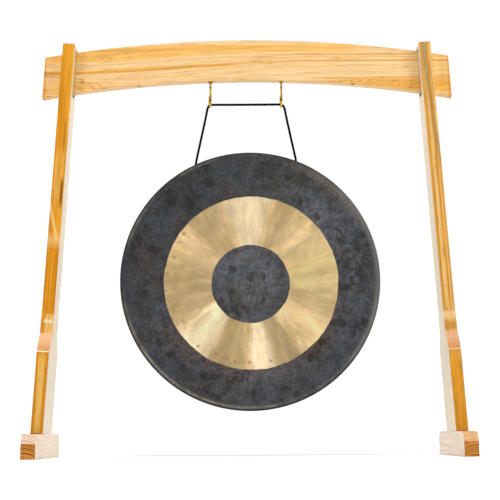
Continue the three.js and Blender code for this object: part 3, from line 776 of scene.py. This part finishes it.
def gong_bronze(skin):
    """Dark fire skin with a ring scraped bright on the face."""
    material, tree, shader, place = new_material("gong_bronze")
    where = vector_maths(tree, "SUBTRACT", place["Object"], tuple(GONG_MIDDLE))
    flat = stretched(tree, where, (1, 0, 1))
    parts = split(tree, flat)
    angle = maths(tree, "ARCTAN2", parts["Z"], parts["X"])
    radius = vector_maths(tree, "LENGTH", flat)
    dark = use_group(tree, skin, Place=where)
    ragged = noise(tree, flat, 210.0, 2.0, 0.6)
    wobble = noise(tree, flat, 26.0, 3.0, 0.55)
    edge = plus(tree, times(tree, wobble, 0.006), times(tree, ragged, 0.0016))
    centre, begin, end = RING_OUTSIDE
    scraped = fade(tree, plus(tree, distance(tree, flat, centre), edge), begin, end)
    centre, begin, end = RING_INSIDE
    scraped = times(tree, scraped, ramp(tree, plus(tree, distance(tree, flat, centre), edge), begin, end))
    scraped = times(tree, scraped, fade(tree, split(tree, place["Normal"])["Y"], -0.9, -0.6))
    fine = strokes(tree, angle, radius, 26.0)
    bright = scraped_brass(tree, flat, angle, radius, fine, ragged)
    skinned = skin_marks_and_painted_light(tree, dark["Colour"], where, angle, radius)
    give(tree, mixed(tree, scraped, skinned, bright), shader.inputs["Base Color"])
    give(tree, ramp(tree, scraped, 0.0, 1.0, 0.3, 1.0), shader.inputs["Metallic"])
    give(tree, ramp(tree, scraped, 0.0, 1.0, 0.6, 0.42), shader.inputs["Roughness"])
    shader.inputs["Anisotropic"].default_value = 0.85
    shader.inputs["Anisotropic Rotation"].default_value = 0.25
    circle = node(tree, "ShaderNodeTangent", {"direction_type": "RADIAL", "axis": "Y"})
    give(tree, circle.outputs[0], shader.inputs["Tangent"])
    height = plus(tree, times(tree, fine, 0.08), times(tree, dark["Height"], 0.2))
    give(tree, bump(tree, height, 0.0005), shader.inputs["Normal"])
    return material


# Brass, steel and black cord

# Where the hooks are tarnished, by height: lowest, highest, how much
TARNISHED = (
    (0.8730, 0.8760, 0.85), (0.8515, 0.8530, 0.6), (0.8425, 0.8480, 0.85), (0.8850, 0.8900, 0.6),
)


def hook_brass():
    """Warm brass, brightest in the bend and tarnished in bands along the shank."""
    material, tree, shader, place = new_material("hook_brass")
    spots = noise(tree, place["Object"], 260.0, 3.0, 0.6)
    colour = mixed(tree, ramp(tree, spots, 0.45, 0.75), (0.50, 0.31, 0.010), (0.36, 0.20, 0.008))
    height = plus(tree, split(tree, place["Object"])["Z"], times(tree, minus(tree, spots, 0.5), 0.006))
    colour = mixed(tree, ramp(tree, height, 0.829, 0.838, 0.7, 0.0), colour, (0.85, 0.56, 0.14))
    for low, high, strength in TARNISHED:
        dark = times(tree, within(tree, height, low, high, 0.0015), strength)
        colour = mixed(tree, dark, colour, (0.07, 0.026, 0.006))
    give(tree, colour, shader.inputs["Base Color"])
    give(tree, ramp(tree, spots, 0.3, 0.8, 0.22, 0.42), shader.inputs["Roughness"])
    give(tree, bump(tree, spots, 0.00005), shader.inputs["Normal"])
    give(tree, (0.22, 0.12, 0.02), shader.inputs["Specular Tint"])
    shader.inputs["Metallic"].default_value = 1.0
    return material


def screw_steel():
    material, tree, shader, place = new_material("screw_steel")
    spots = noise(tree, place["Object"], 420.0, 3.0, 0.6)
    give(tree, mixed(tree, spots, (0.62, 0.62, 0.6), (0.42, 0.42, 0.43)), shader.inputs["Base Color"])
    give(tree, ramp(tree, spots, 0.3, 0.8, 0.25, 0.5), shader.inputs["Roughness"])
    shader.inputs["Metallic"].default_value = 1.0
    return material


def black_cord():
    """Braided polyester, its strands laid both ways round."""
    material, tree, shader, place = new_material("black_cord")
    parts = split(tree, place["UV"])
    turned = times(tree, parts["X"], float(STRANDS))
    along = times(tree, parts["Y"], BRAID_PITCH)
    ways = (plus(tree, turned, along), minus(tree, turned, along))
    crossing = plus(tree, *(maths(tree, "FLOOR", way) for way in ways))
    over = maths(tree, "MODULO", maths(tree, "ABSOLUTE", crossing), 2.0)
    ridges = []
    for way in ways:
        off = minus(tree, maths(tree, "FRACT", way), 0.5)
        ridges.append(minus(tree, 1.0, times(tree, off, off, 4.0)))
    under = minus(tree, 1.0, over)
    height = plus(tree, times(tree, ridges[0], over), times(tree, ridges[1], under))
    # Painted shade: the braid darker down between its strands than on their crowns
    colour = mixed(tree, height, (0.001, 0.001, 0.001), (0.006, 0.006, 0.007))
    give(tree, colour, shader.inputs["Base Color"])
    give(tree, bump(tree, height, 0.0004), shader.inputs["Normal"])
    shader.inputs["Roughness"].default_value = 0.85
    shader.inputs["Specular IOR Level"].default_value = 0.02
    return material


# Modelling

def clear_selection():
    if bpy.context.object is not None and bpy.context.object.mode != "OBJECT":
        bpy.ops.object.mode_set(mode="OBJECT")
    bpy.ops.object.select_all(action="DESELECT")


def pick(piece):
    """Makes piece the active one, and the only one selected."""
    clear_selection()
    bpy.context.view_layer.objects.active = piece
    piece.select_set(True)


def edit_all(kind="FACE"):
    """Goes to edit mode with everything selected."""
    bpy.ops.object.mode_set(mode="EDIT")
    bpy.ops.mesh.select_mode(type=kind)
    bpy.ops.mesh.select_all(action="SELECT")


def finished(name, material, body, smooth_degrees, node_name):
    """Names the active piece, puts its place in its mesh, gives it its finish and body, and hides the CAD
    part it stands for.
    """
    bpy.ops.object.mode_set(mode="OBJECT")
    piece = bpy.context.object
    piece.name = name
    piece.data.name = name
    bpy.ops.object.transform_apply(location=True, rotation=True, scale=True)
    bpy.ops.object.shade_smooth_by_angle(angle=math.radians(smooth_degrees))
    piece.data.materials.clear()
    piece.data.materials.append(material)
    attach(piece, body)
    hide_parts(node_name)


def apply_modifier(kind, **settings):
    piece = bpy.context.object
    made = piece.modifiers.new(kind.lower(), kind)
    for key, value in settings.items():
        setattr(made, key, value)
    bpy.ops.object.modifier_apply(modifier=made.name)


def cut_away(piece, cutter):
    pick(piece)
    apply_modifier("BOOLEAN", operation="DIFFERENCE", object=cutter, solver="EXACT")
    bpy.data.objects.remove(cutter)


def new_ring(move=(0, 0, 0), size=(1, 1, 1), centre=(0, 0, 0)):
    """Extrudes the selected loop or face, moves it and scales it about centre."""
    bpy.ops.mesh.extrude_region_move(TRANSFORM_OT_translate={"value": move})
    if size != (1, 1, 1):
        bpy.ops.transform.resize(value=size, center_override=centre)


def select_faces(piece, wanted):
    """Selects, in edit mode, just the faces whose centre answers."""
    bpy.ops.mesh.select_mode(type="FACE")
    bpy.ops.mesh.select_all(action="DESELECT")
    mesh = bmesh.from_edit_mesh(piece.data)
    for face in mesh.faces:
        face.select_set(wanted(face.calc_center_median()))
    bmesh.update_edit_mesh(piece.data)


# Gong and its hanging holes

def towards_hole(side):
    angle = side * HOLE_ANGLE - GONG_TURN
    return Vector((math.sin(angle), 0, math.cos(angle)))


def turn_up(radius, rings, centre):
    """Turns the selected circle up through rings, each given as its radius and how far back it lies."""
    depth = 0.0
    for wanted, back in rings:
        scale = wanted / radius
        new_ring((0, back - depth, 0), (scale, 1, scale), centre)
        radius, depth = wanted, back


def select_circle(piece, radius):
    """Selects, in edit mode, the edges of one circle round the gong's middle."""
    mesh = bmesh.from_edit_mesh(piece.data)
    for edge in mesh.edges:
        ends = [v.co - GONG_MIDDLE for v in edge.verts]
        level = all(abs(end.y) < 1e-6 for end in ends)
        edge.select_set(level and all(abs(Vector((e.x, e.z)).length - radius) < 1e-5 for e in ends))
    bmesh.update_edit_mesh(piece.data)


def hammer():
    """Gives the beaten face its shallow hollows."""
    beaten = bpy.data.textures.new("beaten", "CLOUDS")
    beaten.noise_scale = 34 * MM
    beaten.noise_depth = 1
    apply_modifier(
        "DISPLACE", texture=beaten, strength=0.7 * MM, mid_level=0.5, direction="Y",
        texture_coords="LOCAL",
    )


def dent(piece, degrees, away, width, deep):
    """Presses one round dent into the face, on faces made finer there."""
    place = GONG_MIDDLE + RING_MIDDLE + on_face(degrees, away)

    def off(point):
        return Vector((point.x - place.x, 0, point.z - place.z)).length

    bpy.ops.object.mode_set(mode="EDIT")
    select_faces(piece, lambda centre: off(centre) < width * 0.9)
    bpy.ops.mesh.subdivide(number_cuts=2, smoothness=0)
    bpy.ops.mesh.select_mode(type="VERT")
    bpy.ops.mesh.select_all(action="DESELECT")
    mesh = bmesh.from_edit_mesh(piece.data)
    nearest = min(mesh.verts, key=lambda v: off(v.co))
    nearest.select_set(True)
    bmesh.update_edit_mesh(piece.data)
    bpy.ops.transform.translate(
        value=(0, deep, 0), use_proportional_edit=True, proportional_edit_falloff="SMOOTH",
        proportional_size=width * 0.62,
    )
    bpy.ops.object.mode_set(mode="OBJECT")


def drill_hole(piece, side):
    """Drills one of the cord's two holes through the rim."""
    inwards, drill_length = 2 * MM, 20 * MM
    out = towards_hole(side)
    place = GONG_MIDDLE + Vector((0, HOLE_SETBACK, 0)) + out * (GONG_RADIUS - inwards)
    clear_selection()
    bpy.ops.mesh.primitive_cylinder_add(
        vertices=32, radius=HOLE_RADIUS, depth=drill_length, location=place,
        rotation=out.to_track_quat("Z", "Y").to_euler(),
    )
    cut_away(piece, bpy.context.object)


def add_gong(material):
    """Turned up from one circle: bend and rim outwards, then the face inwards."""
    centre = tuple(GONG_MIDDLE)
    face_radius = GONG_RADIUS - GONG_EDGE
    clear_selection()
    bpy.ops.mesh.primitive_circle_add(
        vertices=300, radius=face_radius, location=centre, rotation=(HALF_TURN, 0, 0),
    )
    bpy.ops.object.transform_apply(location=True, rotation=True, scale=True)
    piece = bpy.context.object
    edit_all("EDGE")
    bend = []
    bend_steps = 8
    for step in range(1, bend_steps + 1):
        angle = HALF_TURN * step / bend_steps
        bend.append((face_radius + GONG_EDGE * math.sin(angle), GONG_EDGE * (1 - math.cos(angle))))
    rim = [(GONG_RADIUS - narrower, back) for back, narrower in RIM]
    turn_up(face_radius, bend + rim, centre)

    pick(piece)
    bpy.ops.object.mode_set(mode="EDIT")
    select_circle(piece, face_radius)
    rows = 72
    face = []
    for row in range(1, rows):
        radius = face_radius * (1 - row / rows)
        face.append((radius, -GONG_CROWN * (1 - (radius / face_radius) ** 2)))
    turn_up(face_radius, face, centre)
    new_ring()
    bpy.ops.mesh.merge(type="CENTER")
    bpy.ops.mesh.select_all(action="SELECT")
    bpy.ops.mesh.remove_doubles(threshold=1e-6)
    bpy.ops.mesh.normals_make_consistent(inside=False)
    bpy.ops.object.mode_set(mode="OBJECT")
    middle_face = min(piece.data.polygons, key=lambda p: (p.center - GONG_MIDDLE).length)
    if middle_face.normal.y > 0:
        edit_all()
        bpy.ops.mesh.flip_normals()
        bpy.ops.object.mode_set(mode="OBJECT")
    hammer()
    for degrees, away, width, deep in DENTS:
        dent(piece, degrees, away * MM, width * MM, deep * MM)
    apply_modifier("SOLIDIFY", thickness=WALL, offset=-1, use_even_offset=True)
    for side in (-1, 1):
        drill_hole(piece, side)
    finished("gong_disc", material, "gong", 40, "gong")


# Cord

def smooth_route(points, spacing):
    """Points at even steps along the smooth curve through points given in mm, and its length."""
    steps = 24
    rows = [Vector(p) * MM for p in points]
    rows = [2 * rows[0] - rows[1], *rows, 2 * rows[-1] - rows[-2]]
    fine = []
    for a, b, c, d in zip(rows, rows[1:], rows[2:], rows[3:]):
        da, db, dc = ((q - p).length ** 0.5 for p, q in ((a, b), (b, c), (c, d)))
        leave = ((b - a) / da - (c - a) / (da + db) + (c - b) / db) * db
        arrive = ((c - b) / db - (d - b) / (db + dc) + (d - c) / dc) * db
        for step in range(steps):
            t = step / steps
            fine.append(
                b * (2 * t**3 - 3 * t**2 + 1) + leave * (t**3 - 2 * t**2 + t)
                + c * (3 * t**2 - 2 * t**3) + arrive * (t**3 - t**2)
            )
    fine.append(rows[-2])
    marks = [0.0]
    for p, q in zip(fine, fine[1:]):
        marks.append(marks[-1] + (q - p).length)
    count = max(2, round(marks[-1] / spacing))
    even, at = [], 0
    for k in range(count + 1):
        wanted = marks[-1] * k / count
        while at < len(marks) - 2 and marks[at + 1] < wanted:
            at += 1
        share = (wanted - marks[at]) / (marks[at + 1] - marks[at])
        even.append(fine[at].lerp(fine[at + 1], share))
    return even, marks[-1]


def braid(u, v):
    """How far a strand of the braid stands up, 0 to 1, at u round the cord and v diameters along it."""
    one, other = STRANDS * u + BRAID_PITCH * v, STRANDS * u - BRAID_PITCH * v
    over = one if (math.floor(one) + math.floor(other)) % 2 else other
    return 1 - 4 * (over % 1 - 0.5) ** 2


def add_tube(name, route, radius, material):
    """A braided round tube along the route, with U once round it and V in cord diameters along it."""
    sides = 32
    strand = radius * 0.07
    mean_braid = 2 / 3
    mesh = bmesh.new()
    seam = mesh.loops.layers.uv.new("Along")
    normal = Vector((0, 1, 0))
    rings, far = [], [0.0]
    for k, point in enumerate(route):
        tangent = (route[min(k + 1, len(route) - 1)] - route[max(k - 1, 0)]).normalized()
        normal = (normal - tangent * normal.dot(tangent)).normalized()
        side = tangent.cross(normal)
        if k:
            far.append(far[-1] + (point - route[k - 1]).length)
        ring = []
        for j in range(sides):
            a = 2 * math.pi * j / sides
            out = radius + strand * (braid(j / sides, far[-1] / (2 * radius)) - mean_braid)
            ring.append(mesh.verts.new(point + out * (normal * math.cos(a) + side * math.sin(a))))
        rings.append(ring)
    for k in range(len(rings) - 1):
        for j in range(sides):
            n = (j + 1) % sides
            face = mesh.faces.new((rings[k][j], rings[k][n], rings[k + 1][n], rings[k + 1][j]))
            face.smooth = True
            corners = ((j, k), (j + 1, k), (j + 1, k + 1), (j, k + 1))
            for loop, (u, v) in zip(face.loops, corners):
                loop[seam].uv = (u / sides, far[v] / (2 * radius))
    mesh.faces.new(list(reversed(rings[0])))
    mesh.faces.new(rings[-1])
    bmesh.ops.recalc_face_normals(mesh, faces=mesh.faces)
    data = bpy.data.meshes.new(name)
    mesh.to_mesh(data)
    mesh.free()
    data.materials.append(material)
    piece = bpy.data.objects.new(name, data)
    bpy.context.collection.objects.link(piece)
    return piece


def knot_route(side):
    """Points in mm: down from the rim hole, round in nearly two tight turns, and out as a tail."""
    narrower = 1 * MM
    turns, steps, coil_radius, lowest, climb = 1.8, 15, 4.1, -13.4, 9.6
    out = towards_hole(side)
    hole = GONG_MIDDLE + Vector((0, HOLE_SETBACK, 0)) + out * (GONG_RADIUS - narrower - WALL)
    back = Vector((0, 1, 0))
    across = out.cross(back)
    points = [(0, 0, 1.5), (0, 0, -2), (0.2, 0, -6.5), (0.2, 0, -11), (1.2, 0, -14)]
    for k in range(steps + 1):
        angle = 2 * math.pi * turns * k / steps
        x, y = coil_radius * math.cos(angle), coil_radius * math.sin(angle)
        points.append((x, y, lowest + climb * k / steps))
    points += [(-1.5, -1.2, -4.6), (-1.2, 0.4, -8.5), (-1.6, 1.0, -13.5), (-2.4, 1.2, -18.0)]
    return [hole / MM + across * x + back * y + out * z for x, y, z in points]


def add_cord(material):
    step = 0.6 * MM
    route, length = smooth_route(CORD_ROUTE, step)
    cord = add_tube("hanging_rope", route, CORD_RADIUS, material)
    knots = []
    for side, word in ((-1, "left"), (1, "right")):
        knot, _ = smooth_route(knot_route(side), step)
        tied = add_tube(f"{word}_rim_knot", knot, CORD_RADIUS * 0.86, material)
        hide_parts(f"{word}_knot")
        knots.append(tied)
    for piece in (cord, *knots):
        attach(piece, "gong")
    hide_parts("hanging_cord")


# Hooks

def extrude_down(steps, centre):
    """Extrudes the selected face through (drop, widen) steps, scaling it level about centre."""
    for drop, widen in steps:
        new_ring((0, 0, -drop * MM), (widen, widen, 1), centre)


# The collar against the beam: drops in mm, and how much wider than the wire it is after each
COLLAR = (
    (0.0, 1.45), (0.4, 1.55), (0.7, 1.47), (0.6, 1.13), (0.7, 0.70), (0.7, 0.36), (0.8, 0.14),
    (0.7, 0.06), (0.6, 0.0),
)
# The tip beyond the bend: rises in mm, and how much it narrows at each
TIP = ((6.5, 1), (6.5, 1), (6.0, 1), (0.7, 0.93), (0.5, 0.8), (0.3, 0.6))


def add_hook(word, x_mm, turn, collar, material):
    """A screw hook: threaded top, flared collar against the beam, shank, round bend and plain tip.

    turn: degrees that its mouth is turned. collar: how full the collar is, up to 1.
    """
    x, y = x_mm * MM, 4 * MM
    wire, bend = 2.45 * MM, 8 * MM
    top, beam_face, mouth = 911.9 * MM, 888.65 * MM, 837.9 * MM
    # Drops in mm, and widths as shares of the wire's
    point, taper, widening = 0.35, 2.0, 2.3
    threads, core, rise, crest, fall, root = 11, 0.82, 0.45, 0.25, 0.45, 0.55
    sunk = 0.25
    clear_selection()
    bpy.ops.mesh.primitive_circle_add(
        vertices=24, radius=wire * point, fill_type="NGON", location=(x, y, top),
    )
    bpy.ops.object.transform_apply(location=True, rotation=True, scale=True)
    edit_all()
    centre = (x, y, top)
    extrude_down([(taper, widening)], centre)
    width = point * widening
    for _ in range(threads):
        extrude_down([(rise, 1 / width), (crest, 1), (fall, core), (root, 1)], centre)
        width = core
    plain = (top - beam_face) / MM - taper - threads * (rise + crest + fall + root) - sunk
    extrude_down([(plain, 1 / width)], centre)
    width = 1.0
    for drop, flare in COLLAR:
        wider = 1 + flare * collar
        extrude_down([(drop, wider / width)], centre)
        width = wider
    straight = (beam_face - mouth) / MM + sunk - sum(drop for drop, _ in COLLAR)
    extrude_down([(straight / 4, 1)] * 4, centre)
    bpy.ops.mesh.spin(steps=24, angle=math.pi, center=(x, y + bend, mouth), axis=(-1, 0, 0))
    tip = (x, y + 2 * bend, mouth)
    for lift, narrow in TIP:
        new_ring((0, 0, lift * MM), (narrow, narrow, 1), tip)
    bpy.ops.mesh.select_all(action="SELECT")
    bpy.ops.transform.rotate(value=-math.radians(turn), orient_axis="Z", center_override=(x, y, mouth))
    bpy.ops.mesh.remove_doubles(threshold=1e-7)
    bpy.ops.mesh.normals_make_consistent(inside=False)
    finished(f"{word}_screw_hook", material, "stand", 40, f"{word}_hook")


# Screws

def add_screw(name, head, points, sizes, material):
    """A countersunk wood screw with a cross recess, its head's face at head, pointing along points."""
    length, head_radius, head_height, shank = sizes
    eased, chamfer, land = 0.94, 0.12, 0.4
    plain, tip, point = length * 0.3, length * 0.1, 0.12
    threads, core = 16, 0.72
    pitch = (length - head_height - plain - tip) / threads
    turn = [(pitch * 0.3, core), (pitch * 0.3, 1), (pitch * 0.3, 1 / core), (pitch * 0.1, 1)]
    clear_selection()
    bpy.ops.mesh.primitive_circle_add(vertices=28, radius=head_radius * eased * MM, fill_type="NGON")
    piece = bpy.context.object
    edit_all()
    for rise, widen in (
        (chamfer, 1 / eased), (land, 1), (head_height - chamfer - land, shank / head_radius),
        (plain, 1), *turn * threads, (tip, point),
    ):
        new_ring((0, 0, rise * MM), (widen, widen, 1))
    bpy.ops.mesh.select_all(action="SELECT")
    bpy.ops.mesh.normals_make_consistent(inside=False)
    bpy.ops.object.mode_set(mode="OBJECT")
    for turned in (0, HALF_TURN):
        clear_selection()
        bpy.ops.mesh.primitive_cube_add(size=1, rotation=(0, 0, turned))
        cutter = bpy.context.object
        cutter.scale = (head_radius * 1.1 * MM, head_radius * 0.24 * MM, head_height * 1.1 * MM)
        cut_away(piece, cutter)
    piece.rotation_euler = Vector(points).to_track_quat("Z", "Y").to_euler()
    piece.location = Vector(head) * MM
    finished(f"{name}_fixing", material, "stand", 30, name)


def add_screws(material):
    """Sizes in mm: a screw's length, its head's radius and height, and its shank's radius."""
    foot_sizes, beam_sizes = (82, 4.6, 4, 2.4), (32, 3.8, 3.2, 1.9)
    off_middle, counterbore = 38, 14
    beam_x, beam_y, beam_z = 428.1, 34.4, 907.96
    for side, word in ((-1, "left"), (1, "right")):
        for place, y in (("front", -off_middle), ("rear", off_middle)):
            head = (side * FOOT_MIDDLE / MM, y, counterbore)
            add_screw(f"{word}_{place}_foot_screw", head, (0, 0, 1), foot_sizes, material)
        head = (side * beam_x, beam_y, beam_z)
        add_screw(f"{word}_beam_screw", head, (0, -1, 0), beam_sizes, material)


# Boards

def shape_shoulder(board, side):
    """Cuts the ogee on a leg's front and back: a cove, a short flat, then a straight slope to the ledge."""
    turn, shift = leg_board(side)
    laid = Matrix.Translation(shift) @ Euler(turn).to_matrix().to_4x4()
    along_leg = laid.to_3x3().inverted() @ Vector((1, 0, 0))
    ledge, arris, cove_end = 187 * MM, 233 * MM, 279 * MM
    new_arris, flat_end, new_cove_end = 230 * MM, 252 * MM, 288 * MM
    slim, shelf, deep = 35 * MM, 38.5 * MM, 64.5 * MM
    slack = 0.3 * MM
    bpy.ops.object.mode_set(mode="EDIT")
    bpy.ops.mesh.select_mode(type="VERT")
    rows = {}
    for vertex in bmesh.from_edit_mesh(board.data).verts:
        far = (laid @ vertex.co).x
        if abs(vertex.co.y) > slim * 0.8 and ledge - slack < far < cove_end + slack:
            rows.setdefault(round(far / MM, 1), []).append(vertex.index)
    for height, row in rows.items():
        far = height * MM
        if far < arris:
            share = max(0, (far - ledge) / (arris - ledge))
            goes = ledge + share * (new_arris - ledge)
            depth = deep + (shelf - deep) * share ** 1.1
        else:
            goes = new_arris + (far - arris) / (cove_end - arris) * (new_cove_end - new_arris)
            rise = min(1, max(0, (goes - flat_end) / (new_cove_end - flat_end)))
            depth = shelf + (slim - shelf) * (3 * rise ** 2 - 2 * rise ** 3)
        bpy.ops.mesh.select_all(action="DESELECT")
        mesh = bmesh.from_edit_mesh(board.data)
        mesh.verts.ensure_lookup_table()
        for index in row:
            mesh.verts[index].select_set(True)
        reach = max(abs(mesh.verts[index].co.y) for index in row)
        bmesh.update_edit_mesh(board.data)
        bpy.ops.transform.resize(value=(1, depth / reach, 1), center_override=(0, 0, 0))
        bpy.ops.transform.translate(value=along_leg * (goes - far))
    bpy.ops.object.mode_set(mode="OBJECT")


def add_board(name, material):
    """The board of a wooden piece with its edges eased by sandpaper."""
    easing = 0.7 * MM
    board = bpy.data.objects.new(f"{name}_board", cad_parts[name].data.copy())
    bpy.context.collection.objects.link(board)
    pick(board)
    edit_all()
    bpy.ops.mesh.remove_doubles(threshold=1e-6)
    bpy.ops.mesh.dissolve_limited(angle_limit=math.radians(0.5))
    bpy.ops.object.mode_set(mode="OBJECT")
    if name.endswith("leg"):
        shape_shoulder(board, -1 if name.startswith("left") else 1)
    apply_modifier(
        "BEVEL", width=easing, segments=2, limit_method="ANGLE", angle_limit=math.radians(28),
        use_clamp_overlap=True, harden_normals=False,
    )
    finished(f"{name}_board", material, "stand", 32, name)
    apply_modifier("WEIGHTED_NORMAL", mode="FACE_AREA", weight=100, keep_sharp=True)


# Studio

def add_floor():
    """White paper, lit a little from within so that it stays pale round the stand and behind it."""
    clear_selection()
    bpy.ops.mesh.primitive_plane_add(size=16, location=(0, 2.0, -0.0005))
    floor = bpy.context.object
    floor.name = "floor"
    material, tree, shader, place = new_material("floor_paper")
    grain = noise(tree, place["Object"], 3.0, 2.0, 0.5)
    colour = mixed(tree, grain, (0.93, 0.93, 0.93), (0.96, 0.96, 0.96))
    give(tree, colour, shader.inputs["Base Color"])
    shader.inputs["Roughness"].default_value = 0.9
    shader.inputs["Specular IOR Level"].default_value = 0.1
    far = distance(tree, place["Object"], (0, -2.0, 0))
    back = split(tree, place["Object"])["Y"]
    behind = times(tree, ramp(tree, back, -1.9, -1.45), ramp(tree, back, 1.5, 3.0, 0.45, 0.0))
    glow = plus(tree, ramp(tree, far, 0.6, 2.6, 0.12, 0.6), behind)
    give(tree, glow, shader.inputs["Emission Strength"])
    give(tree, (1, 1, 1), shader.inputs["Emission Color"])
    floor.data.materials.append(material)


def add_light(name, place, width, height, power):
    """A soft box that is aimed at the gong."""
    lamp = bpy.data.lights.new(name, "AREA")
    lamp.shape = "RECTANGLE"
    lamp.size = width
    lamp.size_y = height
    lamp.energy = power
    light = bpy.data.objects.new(name, lamp)
    light.location = place
    aim = Vector((0, 0, 0.45)) - Vector(place)
    light.rotation_euler = aim.to_track_quat("-Z", "Y").to_euler()
    bpy.context.collection.objects.link(light)


def add_lights():
    add_light("overhead_box", (-0.12, -1.9, 2.9), 0.7, 1.2, 34)
    add_light("right_box", (2.0, -1.9, 2.2), 0.6, 1.2, 26)
    add_light("left_box", (-2.2, -1.9, 1.8), 0.6, 1.2, 26)
    add_light("low_right_box", (2.6, -1.6, 0.9), 0.5, 0.9, 14)
    world = bpy.data.worlds.new("studio")
    bpy.context.scene.world = world
    world.use_nodes = True
    tree = world.node_tree
    tree.nodes.clear()
    seen = node(tree, "ShaderNodeLightPath").outputs["Is Camera Ray"]
    direction = node(tree, "ShaderNodeTexCoord").outputs["Generated"]
    strength = ramp(tree, split(tree, direction)["Y"], -0.45, 0.35, 0.3, 0.8)
    lit = node(tree, "ShaderNodeBackground", Color=(1, 1, 1), Strength=strength)
    shown = node(tree, "ShaderNodeBackground", Color=(1, 1, 1), Strength=1.05)
    both = node(tree, "ShaderNodeMixShader", i0=seen, i1=lit.outputs[0], i2=shown.outputs[0])
    node(tree, "ShaderNodeOutputWorld", Surface=both.outputs[0])


add_camera()
bpy.context.scene.view_settings.view_transform = "Standard"

add_cord(black_cord())
add_gong(gong_bronze(fire_skin_group()))

brass = hook_brass()
add_hook("left", -88, 10, 1.0, brass)
add_hook("right", 82, 4, 0.45, brass)
add_screws(screw_steel())

grain = (pine_grain_group(), knot_group(), flame_group())
add_board("beam", beam_pine(grain))
add_board("left_leg", left_leg_pine(grain))
add_board("right_leg", right_leg_pine(grain))
add_board("left_foot", foot_pine(grain, "left", -1, 0.009, (0.79, 0.57, 0.43)))
add_board("right_foot", foot_pine(grain, "right", 1, 0.011, (0.68, 0.41, 0.20)))

add_floor()
add_lights()
